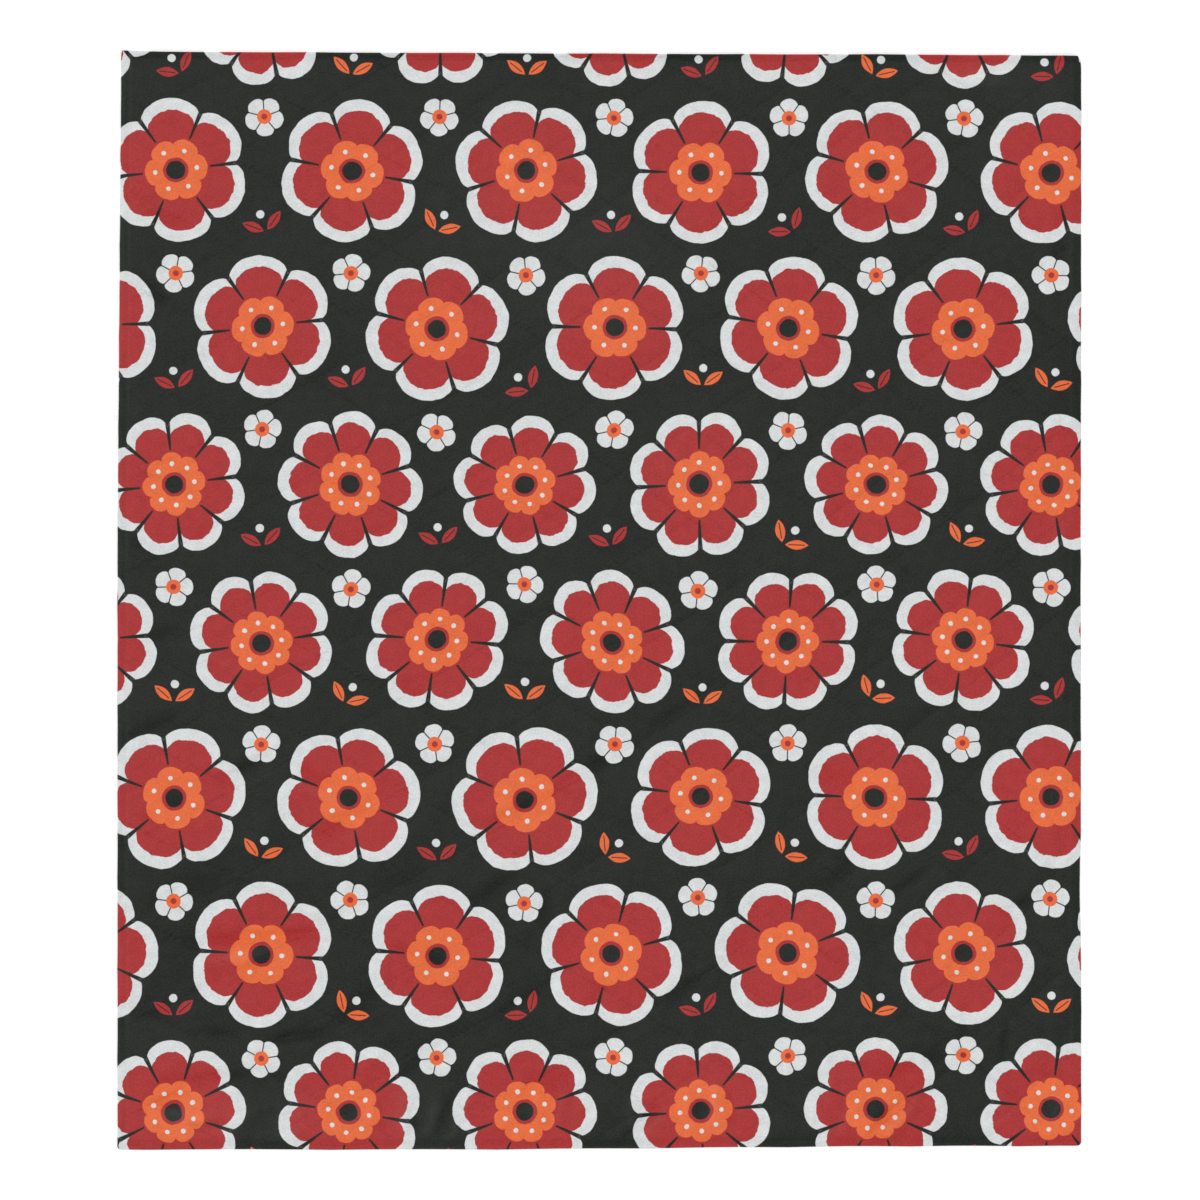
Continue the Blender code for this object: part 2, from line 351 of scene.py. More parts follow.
def curveAt(points, place):
    # a smooth curve through the points, level past the last one
    at, value = np.array(points).T
    slope = np.gradient(value, at)
    slope[-1] = 0
    k = np.clip(np.searchsorted(at, place, side="right") - 1, 0, len(at) - 2)
    gap = at[k + 1] - at[k]
    share = np.clip((place - at[k]) / gap, 0, 1)
    ease = share * share * (3 - 2 * share)
    bend = slope[k] * share * (1 - share) ** 2 - slope[k + 1] * share * share * (1 - share)
    return between(value[k], value[k + 1], ease) + gap * bend


def smoothNoise(x, y, scale, seed):
    places = zip((x / scale).ravel(), (y / scale).ravel())
    return np.array([noise.noise(Vector((a, b, seed))) for a, b in places]).reshape(x.shape)


def lineDepth(x, y):
    broad = smoothNoise(x, y, patches["scale"], patches["seed"])
    fine = smoothNoise(x, y, patches["fineScale"], patches["fineSeed"])
    share = smoothStep(patches["middle"] + patches["contrast"] * (broad + patches["fineShare"] * fine))
    return between(quilt["shallowest"], quilt["deepest"], share)


def plainHeight(across, up):
    # the stitched diamonds and the hem, with nothing uneven yet
    rising, falling = lineCounts(across, up)
    pillow = abs(np.sin(np.pi * rising) * np.sin(np.pi * falling)) ** quilt["puffRoundness"]
    rise = puffRise(np.floor(rising), np.floor(falling), up)
    depth = lineDepth(across * quilt["width"], up * quilt["length"])
    fromNearest = np.minimum(abs(rising - np.round(rising)), abs(falling - np.round(falling)))
    fromLine = quilt["linePitch"] * fromNearest
    groove = quilt["grooveDepth"] * np.exp(-((fromLine / quilt["grooveWidth"]) ** 2))
    risen = quilt["seam"] + rise * (1 - (1 - pillow) * depth) - groove
    start, edge = 1, 1
    for side, far in fromSides(across, up).items():
        start = start * smoothStep((far - quilt["hem"][side]) / quilt["puffStart"])
        edge = edge * curveAt(hemShape[side], far)
    return between(quilt["padded"], risen, start) * edge


def creaseHeight(x, y):
    total = np.zeros_like(x)
    for row in creases:
        crease = dict(zip(creaseColumns, row))
        turn = math.radians(crease["turn"])
        fromX, fromY = x - crease["x"], y - crease["y"]
        along = (fromX * math.cos(turn) + fromY * math.sin(turn)) / (crease["length"] / 2)
        aside = (fromY * math.cos(turn) - fromX * math.sin(turn)) / crease["width"]
        total += crease["rise"] * np.exp(-aside ** 2 - along ** 4)
    return total * creaseStrength


def unevenHeight(x, y, across, up):
    total = creaseHeight(x, y)
    strength = between(unevenLower, unevenUpper, up)
    for row in unevenness:
        wave = smoothNoise(x, y, row["scale"], row["seed"])
        total += strength * row["rise"] * (creasedLevel - abs(wave) * creasedFold if row["creased"] else wave)
    for side, far in fromSides(across, up).items():
        place = x if side in ("bottom", "top") else y
        fade = np.exp(-((far - hemWaves["middle"]) / hemWaves["reach"]) ** 2)
        wave = smoothNoise(place, hemWaves["drag"] * far, hemWaves["scale"], hemWaves["seed"][side])
        total += hemWaves["rise"][side] * fade * (hemWaves["swell"] + wave)
    # the outermost line of the fold lies still
    return total * smoothStep(insideHem(across, up) / quilt["stillHem"])


def clothHeight(x, y, across, up):
    # the whole height, with creases that never reach the floor
    over = plainHeight(across, up) + unevenHeight(x, y, across, up) - quilt["thinnest"]
    return quilt["thinnest"] + (over + np.sqrt(over ** 2 + quilt["softTrough"] ** 2)) / 2


# Grid lines beside an edge, as shares of the hem's width there.
hemLines = (0, 0.07, 0.18, 0.33, 0.5, 0.68, 0.84, 0.94, 1, 1.1, 1.25)


def gridShares(steps, first, last, size):
    # grid lines over one direction: fixed lines beside both edges, and lines that follow the steps
    low = [share * first / size for share in hemLines]
    high = [1 - share * last / size for share in reversed(hemLines)]
    count = round(steps * quilt["meshPerStep"])
    margin = quilt["marginSteps"]
    middle = [k / count for k in range(margin, count - margin + 1)]
    return low, middle, high


def clothGrid():
    # (across, up) of every point of the face, one row of the array for each row of the grid
    hem = quilt["hem"]
    low, middle, high = gridShares(stitching["up"], hem["bottom"], hem["top"], quilt["length"])
    ups = np.array(low + middle + high)[:, None]
    low, middle, high = gridShares(stitching["across"], hem["left"], hem["right"], quilt["width"])
    steps = acrossOfStep(np.array(middle)[None, :], ups)
    fill = np.arange(1, quilt["marginLines"] + 1) / (quilt["marginLines"] + 1)
    wide = np.ones_like(ups)
    leftGap = between(low[-1], steps[:, :1], fill[None, :])
    rightGap = between(steps[:, -1:], high[0], fill[None, :])
    acrosses = np.hstack([wide * np.array(low), leftGap, steps, rightGap, wide * np.array(high)])
    return acrosses, ups * np.ones_like(acrosses)


def clothFaces(rising, falling):
    # two triangles a cell, split along the stitched line that crosses the cell's step
    rows, columns = rising.shape
    number = np.arange(rows * columns).reshape(rows, columns)
    lowLeft, lowRight = number[:-1, :-1], number[:-1, 1:]
    highLeft, highRight = number[1:, :-1], number[1:, 1:]
    acrossMiddle = (falling - rising)[:-1, :-1] / 2 + (falling - rising)[1:, 1:] / 2
    upMiddle = (falling + rising)[:-1, :-1] / 2 + (falling + rising)[1:, 1:] / 2
    risingCell = (np.floor(acrossMiddle) + np.floor(upMiddle)) % 2 == 0
    first = np.stack([lowLeft, lowRight, np.where(risingCell, highRight, highLeft)], -1)
    second = np.stack([np.where(risingCell, lowLeft, lowRight), highRight, highLeft], -1)
    return np.concatenate([first.reshape(-1, 3), second.reshape(-1, 3)])


def makePiece(name, points, faces, materials, smooth=True):
    mesh = bpy.data.meshes.new(name)
    mesh.from_pydata(points, [], faces)
    mesh.update()
    if smooth:
        mesh.shade_smooth()
    piece = bpy.data.objects.new(name, mesh)
    bpy.context.scene.collection.objects.link(piece)
    for material in materials:
        mesh.materials.append(material)
    return piece


def addPlaces(mesh, name, places):
    # a UV map that holds real places on the cloth
    loops = np.empty(len(mesh.loops), np.int32)
    mesh.loops.foreach_get("vertex_index", loops)
    layer = mesh.uv_layers.new(name=name)
    layer.data.foreach_set("uv", np.asarray(places, np.float32)[loops].ravel())


# The fold of the hem under the edge, then the flat back: each ring is this far in and this high.
foldRings = (
    {"in": 0.0005, "height": 0.0009},
    {"in": 0.0020, "height": 0.0},
    {"in": 0.0170, "height": 0.0},
)
backReach = 0.6  # the middle face of the back, as a share of the quilt


def makeCloth(printedCloth, plainCloth):
    across, up = clothGrid()
    x, y = floorPlace(across, up)
    height = clothHeight(x, y, across, up)
    rising, falling = lineCounts(across, up)
    points = np.stack([x.ravel(), y.ravel(), height.ravel()], -1)
    places = np.stack([(across * quilt["width"]).ravel(), (up * quilt["length"]).ravel()], -1)
    lines = np.stack([rising.ravel(), falling.ravel()], -1)
    faces = [tuple(face) for face in clothFaces(rising, falling).tolist()]

    # the hem's fold round the rim, ring by ring
    number = np.arange(across.size).reshape(across.shape)
    rim = np.concatenate([number[0], number[1:, -1], number[-1, -2::-1], number[-2:0:-1, 0]])
    ring = rim
    half = np.array([quilt["width"] / 2, quilt["length"] / 2])
    for row in foldRings:
        inward = 1 - row["in"] / half
        edge = points[rim, :2] * inward
        newPoints = np.column_stack([edge, np.full(len(rim), row["height"])])
        outward = half + (places[rim] - half) * (1 + row["in"] / half)
        newRing = len(points) + np.arange(len(rim))
        points = np.vstack([points, newPoints])
        places = np.vstack([places, outward])
        lines = np.vstack([lines, lines[rim]])
        onward, newOnward = np.roll(ring, -1), np.roll(newRing, -1)
        faces += list(zip(ring.tolist(), newRing.tolist(), newOnward.tolist(), onward.tolist()))
        ring = newRing
    printedCount = len(faces)

    # the flat back: one large face, with triangles from it out to the last ring
    backCorners = {}
    for sideX, sideY in ((-1, -1), (-1, 1), (1, 1), (1, -1)):
        reach = np.array([sideX, sideY]) * half * backReach
        backCorners[(sideX, sideY)] = len(points)
        points = np.vstack([points, [*reach, 0.0]])
        places = np.vstack([places, half + reach])
        lines = np.vstack([lines, [0.5, 0.5]])
    faces.append(tuple(backCorners.values()))
    middles = points[ring, :2] + points[np.roll(ring, -1), :2]
    nearest = [backCorners[(1 if a > 0 else -1, 1 if b > 0 else -1)] for a, b in middles]
    for k, start in enumerate(ring.tolist()):
        end = int(ring[(k + 1) % len(ring)])
        faces.append((end, start, nearest[k]))
        if nearest[k] != nearest[k - 1]:
            faces.append((start, nearest[k - 1], nearest[k]))

    piece = makePiece("quiltCloth", points.tolist(), faces, [printedCloth, plainCloth])
    side = np.zeros(len(faces), np.int32)
    side[printedCount:] = 1
    piece.data.polygons.foreach_set("material_index", side)
    addPlaces(piece.data, "clothPlace", places)
    addPlaces(piece.data, "linePlace", lines)
    # crease heights, for the painted highlight on ridges and painted shade in troughs
    folds = creaseHeight(points[:, 0], points[:, 1])
    addPlaces(piece.data, "foldPlace", np.stack([folds, folds], -1))
    return piece


# Thread. A stitch is a short bar that dips into the cloth at both ends.
quiltThread = {"pitch": 0.0050, "length": 0.0037, "radius": 0.00026, "lift": 0.00022, "dip": 0.00035}
hemThread = {"pitch": 0.0042, "length": 0.0031, "radius": 0.00028, "lift": 0.00024, "dip": 0.00035}
stitchRings = (0, 0.25, 0.75, 1)  # places along a stitch, as shares of its length
stitchTaper = 0.55  # how thick its ends are

# Points along a line of quilting and along a side of the hem. Shorter lines than the fewest points
# carry no stitches, and each line starts clear of the hem's own stitches.
pathPoints, hemPathPoints, fewestPoints = 900, 1200, 10
clearOfHem = 1.02


def clothPath(across, up):
    # points on the cloth along a line, each with its place on the print
    x, y = floorPlace(across, up)
    height = clothHeight(x, y, across, up)
    return np.stack([x, y, height, across * quilt["width"], up * quilt["length"]], -1)


def stitchRows(path, thread):
    # corner points of every stitch along one path, four rings of four, and their places on the print
    gaps = np.linalg.norm(np.diff(path[:, :3], axis=0), axis=1)
    along = np.concatenate([[0], np.cumsum(gaps)])
    starts = np.arange(thread["pitch"] / 2, along[-1] - thread["pitch"], thread["pitch"])
    shares = np.array(stitchRings)
    offsets = np.array([-thread["dip"], thread["lift"], thread["lift"], -thread["dip"]])
    radii = thread["radius"] * np.array([stitchTaper, 1, 1, stitchTaper])
    at = starts[:, None] + shares[None, :] * thread["length"]
    middle = np.stack([np.interp(at, along, path[:, k]) for k in range(3)], -1)
    middle[..., 2] += offsets[None, :]
    places = np.stack([np.interp(at, along, path[:, k]) for k in (3, 4)], -1)
    heading = middle[:, -1, :2] - middle[:, 0, :2]
    heading /= np.linalg.norm(heading, axis=1, keepdims=True)
    aside = np.stack([-heading[:, 1], heading[:, 0], np.zeros(len(heading))], -1)[:, None, None, :]
    turns = np.arange(4) * math.pi / 2 + math.pi / 4
    level = np.cos(turns)[None, None, :, None] * aside
    upright = np.sin(turns)[None, None, :, None] * np.array([0, 0, 1.0])
    points = middle[:, :, None, :] + (level + upright) * radii[None, :, None, None]
    return points.reshape(-1, 3), np.repeat(places.reshape(-1, 2), 4, axis=0)


def makeStitches(name, paths, thread, material):
    rows = [stitchRows(path, thread) for path in paths]
    points = np.vstack([row[0] for row in rows])
    bar = []
    for ring in range(3):
        for k in range(4):
            a, b = ring * 4 + k, ring * 4 + (k + 1) % 4
            bar.append((a, b, b + 4, a + 4))
    bar.append((3, 2, 1, 0))
    bar.append((12, 13, 14, 15))
    firsts = np.arange(0, len(points), 16)[:, None, None]
    faces = (firsts + np.array(bar)[None]).reshape(-1, 4)
    piece = makePiece(name, points.tolist(), [tuple(face) for face in faces.tolist()], [material])
    addPlaces(piece.data, "clothPlace", np.vstack([row[1] for row in rows]))
    return piece


def quiltingPaths(slant):
    # every line of one slant: 1 rises to the right and -1 falls. Those that miss the quilt drop out.
    firstLine, lastLine = -40, 80
    firstAcross, firstUp = stitching["firstAcross"], stitching["firstUp"]
    steps = np.linspace(0, stitching["across"], pathPoints)
    paths = []
    for start in range(firstLine, lastLine, 2):
        stepsUp = start + slant * (firstAcross + steps)
        up = (stepsUp - firstUp) / stitching["up"]
        onQuilt = (up > 0) & (up < 1)
        if onQuilt.sum() < fewestPoints:
            continue
        up = up[onQuilt]
        across = acrossOfStep(steps[onQuilt] / stitching["across"], up)
        inside = insideHem(across, up) > clearOfHem
        if inside.sum() > fewestPoints:
            paths.append(clothPath(across[inside], up[inside]))
    return paths


def hemPaths():
    hem, width, length = quilt["hem"], quilt["width"], quilt["length"]
    left, right = hem["left"] / width, 1 - hem["right"] / width
    bottom, top = hem["bottom"] / length, 1 - hem["top"] / length
    run = np.linspace(0, 1, hemPathPoints)
    return [
        clothPath(between(left, right, run), np.full_like(run, bottom)),
        clothPath(np.full_like(run, right), between(bottom, top, run)),
        clothPath(between(right, left, run), np.full_like(run, top)),
        clothPath(np.full_like(run, left), between(top, bottom, run)),
    ]


class Strand:
    # one socket of a material, so that shader sums read as sums
    def __init__(self, dye, socket):
        self.dye = dye
        self.socket = socket

    def worked(self, operation, *values):
        return self.dye.node("ShaderNodeMath", {"operation": operation}, dict(enumerate(values)))

    def __add__(self, other):
        return self.worked("ADD", self, other)

    def __radd__(self, other):
        return self.worked("ADD", other, self)

    def __sub__(self, other):
        return self.worked("SUBTRACT", self, other)

    def __rsub__(self, other):
        return self.worked("SUBTRACT", other, self)

    def __mul__(self, other):
        return self.worked("MULTIPLY", self, other)

    def __rmul__(self, other):
        return self.worked("MULTIPLY", other, self)

    def __truediv__(self, other):
        return self.worked("DIVIDE", self, other)

    def __pow__(self, other):
        return self.worked("POWER", self, other)

    def __mod__(self, other):
        return self.worked("FLOORED_MODULO", self, other)

    def __abs__(self):
        return self.worked("ABSOLUTE", self)


class Dye:
    # builds one material
    def __init__(self, name):
        self.material = bpy.data.materials.new(name)
        self.material.use_nodes = True
        self.tree = self.material.node_tree
        self.shader = self.tree.nodes["Principled BSDF"]

    def node(self, kind, settings=None, values=None, output=0):
        made = self.tree.nodes.new(kind)
        for name, setting in (settings or {}).items():
            setattr(made, name, setting)
        for name, value in (values or {}).items():
            self.join(made.inputs[name], value)
        return Strand(self, made.outputs[output])

    def join(self, socket, value):
        if isinstance(value, Strand):
            self.tree.links.new(value.socket, socket)
        else:
            socket.default_value = value

    def finish(self, **values):
        for name, value in values.items():
            self.join(self.shader.inputs[name.replace("_", " ")], value)
        return self.material

    def colours(self, share, one, other):
        return self.node("ShaderNodeMix", {"data_type": "RGBA"}, {0: share, 6: one, 7: other}, 2)

    def evenly(self, blend, colour, value):
        # a colour blended with one number in all its channels
        even = self.node("ShaderNodeCombineColor", {}, {0: value, 1: value, 2: value})
        settings = {"data_type": "RGBA", "blend_type": blend}
        return self.node("ShaderNodeMix", settings, {0: 1.0, 6: colour, 7: even}, 2)

    def tinted(self, colour, value):
        # a colour made lighter or darker by a number round 1
        return self.evenly("MULTIPLY", colour, value)

    def added(self, colour, value):
        # a colour made paler or darker by the same small amount in every channel
        return self.evenly("ADD", colour, value)

    def grain(self, place, scale, detail=2.0):
        # smooth noise from 0 to 1, with one unit of scale a metre
        return self.node("ShaderNodeTexNoise", {}, {"Vector": place, "Scale": scale, "Detail": detail})

    def apart(self, vector):
        return [self.node("ShaderNodeSeparateXYZ", {}, {0: vector}, k) for k in range(3)]

    def together(self, x, y, z=0.0):
        return self.node("ShaderNodeCombineXYZ", {}, {0: x, 1: y, 2: z})

    def whole(self, value):
        return value.worked("FLOOR", value)

    def clamped(self, value):
        return self.node("ShaderNodeClamp", {}, {0: value, 1: 0.0, 2: 1.0})


def shade(red, green, blue):
    # a colour as seen on screen, 0 to 255, turned into a material's own numbers
    def straight(value):
        value /= 255
        return value / 12.92 if value <= 0.04045 else ((value + 0.055) / 1.055) ** 2.4
    return (straight(red), straight(green), straight(blue), 1.0)


# The print: round flowers in rows, each row moved by half a flower, with small blossoms and pairs of
# leaves in the gaps. Colours are as they look on the cloth, lengths in metres.
flowerPrint = {
    "ground": shade(5, 13, 2),
    "petal": shade(165, 38, 39),
    "rim": shade(212, 215, 215),
    "heart": shade(225, 102, 51),
    "acrossPitch": 0.3233,
    "upPitch": 0.2896,
    "shiftAcross": 0.105,
    "shiftUp": 0.070,
    "reach": 0.133,
    "rimWidth": 0.021,
    "heartReach": 0.058,
    "eyeReach": 0.017,
    "seedReach": 0.0042,
    "softEdge": 0.0013,
    "blossomReach": 0.036,
    "petals": 8.0,
    "petalsLess": 2.0,  # in the rows of the other kind
    "blossomPetals": 5.0,
    "motifTurn": 6.28,  # radians from one flower to the other, at most
    "rimDepth": 0.26,  # how deep the notches between petals are, as a share of the flower
    "heartDepth": 0.24,
    "lobeWidth": 1.94,
    "slitWidth": 0.0014,
    "slitSpread": 0.055,
    "slitStart": 0.004,
    "seedRing": 0.038,
    "eyeRing": 0.006,
    "blossomDepth": 0.34,
    "blossomSlit": 0.0011,
    "blossomHeart": 0.0135,
    "blossomEye": 0.0055,
    "leafLength": 0.021,
    "leafWidth": 0.0088,
    "leafApart": 0.020,
    "leafLow": 0.002,
    "leafTilt": 38,  # degrees
    "leafTurn": 1.6,  # radians from one pair to the other, at most
    "veinWidth": 0.0009,
    "veinLength": 0.7,
    "veinTaper": 0.02,
    "budUp": 0.020,
    "budReach": 0.0075,
    "waverScale": 19.0,  # the edges of the ink waver, broadly and finely
    "waver": 0.010,
    "fineWaverScale": 75.0,
    "fineWaver": 0.005,
    "flowerWaver": 0.8,  # shares of that waver in each motif's edge
    "flowerFineWaver": 0.5,
    "heartWaver": 0.5,
    "blossomWaver": 0.6,
    "leafWaver": 0.4,
}
fullTurn = 2 * math.pi


def repeated(dye, x, y, shiftAcross, shiftUp):
    # place measured from the nearest motif of the repeat, a chance number for that motif, and its row
    rowShare = (y - shiftUp) / flowerPrint["upPitch"]
    row = dye.whole(rowShare + 0.5)
    columnShare = (x - shiftAcross) / flowerPrint["acrossPitch"] - (row % 2.0) * 0.5
    column = dye.whole(columnShare + 0.5)
    localX = (columnShare - column) * flowerPrint["acrossPitch"]
    localY = (rowShare - row) * flowerPrint["upPitch"]
    key = dye.together(row, column, shiftUp * 100)
    chance = dye.node("ShaderNodeTexWhiteNoise", {"noise_dimensions": "3D"}, {"Vector": key})
    return localX, localY, chance, row


def insideOf(dye, distance):
    # 1 inside an edge and 0 outside it, with the soft edge of ink on cloth
    return dye.clamped(distance / flowerPrint["softEdge"] + 0.5)


def roundLobe(sector):
    # height of a round petal over its notches, for a place from -0.5 to 0.5 across it
    arch = 1.0 - (sector * flowerPrint["lobeWidth"]) ** 2.0
    return arch.worked("MAXIMUM", arch, 0.0) ** 0.5


def petalPlace(dye, localX, localY, count, turn):
    reach = (localX * localX + localY * localY) ** 0.5
    angle = localX.worked("ARCTAN2", localY, localX) + turn
    turns = angle * count / fullTurn
    sector = turns - dye.whole(turns + 0.5)
    return reach, abs(sector)


def printColour(dye, place):
    x, y, _ = dye.apart(place)
    uneven = (dye.grain(place, flowerPrint["waverScale"]) - 0.5) * flowerPrint["waver"]
    fineUneven = (dye.grain(place, flowerPrint["fineWaverScale"]) - 0.5) * flowerPrint["fineWaver"]
    colour = flowerPrint["ground"]

    # pairs of leaves with a bud between them
    upPitch, acrossPitch = flowerPrint["upPitch"], flowerPrint["acrossPitch"]
    gapUp = (upPitch ** 2 - acrossPitch ** 2 / 4) / (2 * upPitch)
    localX, localY, chance, _ = repeated(
        dye, x, y, flowerPrint["shiftAcross"], flowerPrint["shiftUp"] + upPitch - gapUp)
    turn = (chance - 0.5) * flowerPrint["leafTurn"]
    cosTurn, sinTurn = turn.worked("COSINE", turn), turn.worked("SINE", turn)
    turnedX = localX * cosTurn - localY * sinTurn
    turnedY = localX * sinTurn + localY * cosTurn
    tilt = math.radians(flowerPrint["leafTilt"])
    outX = abs(turnedX) - flowerPrint["leafApart"]
    outY = turnedY - flowerPrint["leafLow"]
    along = (outX * math.cos(tilt) + outY * math.sin(tilt)) / flowerPrint["leafLength"]
    aside = abs(outY * math.cos(tilt) - outX * math.sin(tilt))
    leafWaver = fineUneven * flowerPrint["leafWaver"]
    leaf = insideOf(dye, (1.0 - along * along) * flowerPrint["leafWidth"] - aside + leafWaver)
    veinEnd = (flowerPrint["veinLength"] - abs(along)) * flowerPrint["veinTaper"]
    vein = insideOf(dye, flowerPrint["veinWidth"] - aside) * insideOf(dye, veinEnd)
    leafColour = dye.colours(dye.whole(chance * 2.0), flowerPrint["petal"], flowerPrint["heart"])
    colour = dye.colours(leaf, colour, leafColour)
    colour = dye.colours(vein * leaf, colour, flowerPrint["ground"])
    budX, budY = turnedX, turnedY - flowerPrint["budUp"]
    fromBud = (budX * budX + budY * budY) ** 0.5
    bud = insideOf(dye, flowerPrint["budReach"] - fromBud + leafWaver)
    colour = dye.colours(bud, colour, flowerPrint["rim"])

    # small blossoms
    localX, localY, chance, _ = repeated(
        dye, x, y, flowerPrint["shiftAcross"] + acrossPitch / 2, flowerPrint["shiftUp"] + gapUp)
    count = flowerPrint["blossomPetals"]
    reach, sector = petalPlace(dye, localX, localY, count, chance * flowerPrint["motifTurn"])
    depth = flowerPrint["blossomDepth"]
    edge = (roundLobe(sector) * depth + (1 - depth)) * flowerPrint["blossomReach"]
    blossom = insideOf(dye, edge - reach + fineUneven * flowerPrint["blossomWaver"])
    slit = insideOf(dye, flowerPrint["blossomSlit"] - (0.5 - sector) * (fullTurn / count) * reach)
    colour = dye.colours(blossom * (1.0 - slit), colour, flowerPrint["rim"])
    heart = insideOf(dye, flowerPrint["blossomHeart"] - reach + fineUneven * flowerPrint["heartWaver"])
    colour = dye.colours(heart, colour, flowerPrint["heart"])
    colour = dye.colours(insideOf(dye, flowerPrint["blossomEye"] - reach), colour, flowerPrint["petal"])

    # large flowers: eight round petals, and six in two rows of every four
    localX, localY, chance, row = repeated(
        dye, x, y, flowerPrint["shiftAcross"], flowerPrint["shiftUp"])
    kind = (row + dye.whole(row * 0.5)) % 2.0
    count = flowerPrint["petals"] - kind * flowerPrint["petalsLess"]
    reach, sector = petalPlace(dye, localX, localY, count, chance * flowerPrint["motifTurn"])
    reach = reach + uneven * flowerPrint["flowerWaver"] + fineUneven * flowerPrint["flowerFineWaver"]
    depth = flowerPrint["rimDepth"]
    edge = (roundLobe(sector) * depth + (1 - depth)) * flowerPrint["reach"]
    whole = insideOf(dye, edge - reach)
    body = insideOf(dye, edge - reach - flowerPrint["rimWidth"] - fineUneven)
    depth = flowerPrint["heartDepth"]
    heartEdge = (roundLobe(0.5 - sector) * depth + (1 - depth)) * flowerPrint["heartReach"]
    fromHeart = reach - heartEdge
    fromNotch = (0.5 - sector) * fullTurn / count
    slitWidth = flowerPrint["slitWidth"] + fromHeart * flowerPrint["slitSpread"]
    slit = insideOf(dye, slitWidth - fromNotch * reach)
    slit = slit * insideOf(dye, fromHeart - flowerPrint["slitStart"])
    seedX, seedY = reach - flowerPrint["seedRing"], fromNotch * flowerPrint["seedRing"]
    seed = insideOf(dye, flowerPrint["seedReach"] - (seedX * seedX + seedY * seedY) ** 0.5)
    colour = dye.colours(whole, colour, flowerPrint["rim"])
    colour = dye.colours(body, colour, flowerPrint["petal"])
    colour = dye.colours(slit * whole, colour, flowerPrint["ground"])
    colour = dye.colours(insideOf(dye, heartEdge - reach), colour, flowerPrint["heart"])
    colour = dye.colours(seed, colour, flowerPrint["rim"])
    eye = flowerPrint["eyeReach"]
    colour = dye.colours(insideOf(dye, eye + flowerPrint["eyeRing"] - reach), colour, flowerPrint["petal"])
    colour = dye.colours(insideOf(dye, eye - reach), colour, flowerPrint["ground"])
    return colour


# Painted highlight and painted shade: places where the cloth is painted paler or darker, from the middle of
# the quilt: x, y, reach and how much.
paintedLightPlaces = (
    (-0.150, 0.680, 0.24, 0.0034),
    (0.070, 0.620, 0.20, 0.0028),
    (0.190, 0.255, 0.15, 0.0026),
    (0.780, 0.980, 0.11, 0.0030),
    (-0.740, -0.970, 0.14, 0.0034),
    (-0.560, -0.975, 0.10, 0.0026),
    (-0.330, -0.965, 0.12, 0.0030),
    (0.215, -0.965, 0.10, 0.0022),
    (-0.700, -0.620, 0.20, -0.0030),
    (-0.250, -0.700, 0.26, -0.0018),
    (0.850, 0.400, 0.17, -0.0026),
    (0.560, -0.980, 0.16, -0.0022),
)

# Painted light and shade along the hem, paler where its slopes face the light and darker where they face
# away: side, distance from that edge, reach either way and how much paler.
paintedHemLight = (
    ("left", 0.0045, 0.0065, 0.0024),
    ("left", 0.0180, 0.0050, 0.0052),
    ("right", 0.0095, 0.0080, -0.0018),
    ("right", 0.0200, 0.0035, 0.0024),
    ("bottom", 0.0115, 0.0090, -0.0048),
    ("top", 0.0085, 0.0085, -0.0030),
)

# The cloth: a light brushed weave. Lengths are in metres, heights of the bump in millimetres.
weave = {
    "threadPitch": 0.0009,
    "threadHeight": 0.04,
    "gatherPitch": 0.013,
    "gatherReach": 0.020,
    "gatherHeight": 0.35,
    "wrinkleScale": 55.0,
    "wrinkleHeight": 1.1,
    "ridgeHighlight": 1.8,  # painted highlight: how much paler a crease's ridge is, for each metre of its height
    "troughShade": 1.3,  # and painted shade: how much darker its trough is
    "heather": 0.48,  # fine fibres, darker and paler
    "heatherScale": 320.0,
    "heatherHeight": 0.10,
    # painted light and shade on the wrinkles: their ridges paler and their hollows darker
    "wrinkleLightAndShade": 0.31,
    "broadScale": 7.0,
    "broadTone": 0.08,
    "paleFibres": 0.0114,
    "fibreContrast": 4.0,
    "sink": 0.16,
    "sinkReach": 0.0035,
    "jumbleScale": 30.0,  # how unevenly the gathers follow each other along a line
    "jumble": 14.0,
    "paintedLineShade": 0.0022,  # painted shade in the stitched line's groove: how much darker it is in its darker patches
    "lineReach": 0.0024,
    "patchScale": 13.0,
    "patchContrast": 3.4,
    "patchLevel": 1.25,
    "haze": 0.0045,
    "hazeScale": 48.0,
    "hazeContrast": 2.4,
    "hazeLevel": 0.95,
    "roughness": 0.54,
    "roughSpread": 0.16,
    "gloss": 0.25,
    "sheen": 0.05,
    "sheenRoughness": 0.45,
}


def paintedLightTone(dye, x, y):
    # painted highlights and painted shade, from the places and hem strips listed above
    total = 0.0
    for placeX, placeY, reach, amount in paintedLightPlaces:
        fromX = (x - (placeX + quilt["width"] / 2)) / reach
        fromY = (y - (placeY + quilt["length"] / 2)) / reach
        total = total + dye.clamped(1.0 - fromX * fromX - fromY * fromY) * amount
    fromSide = {"left": x, "right": quilt["width"] - x, "bottom": y, "top": quilt["length"] - y}
    for side, at, reach, amount in paintedHemLight:
        far = (fromSide[side] - at) / reach
        total = total + dye.clamped(1.0 - far * far) * amount
    return total


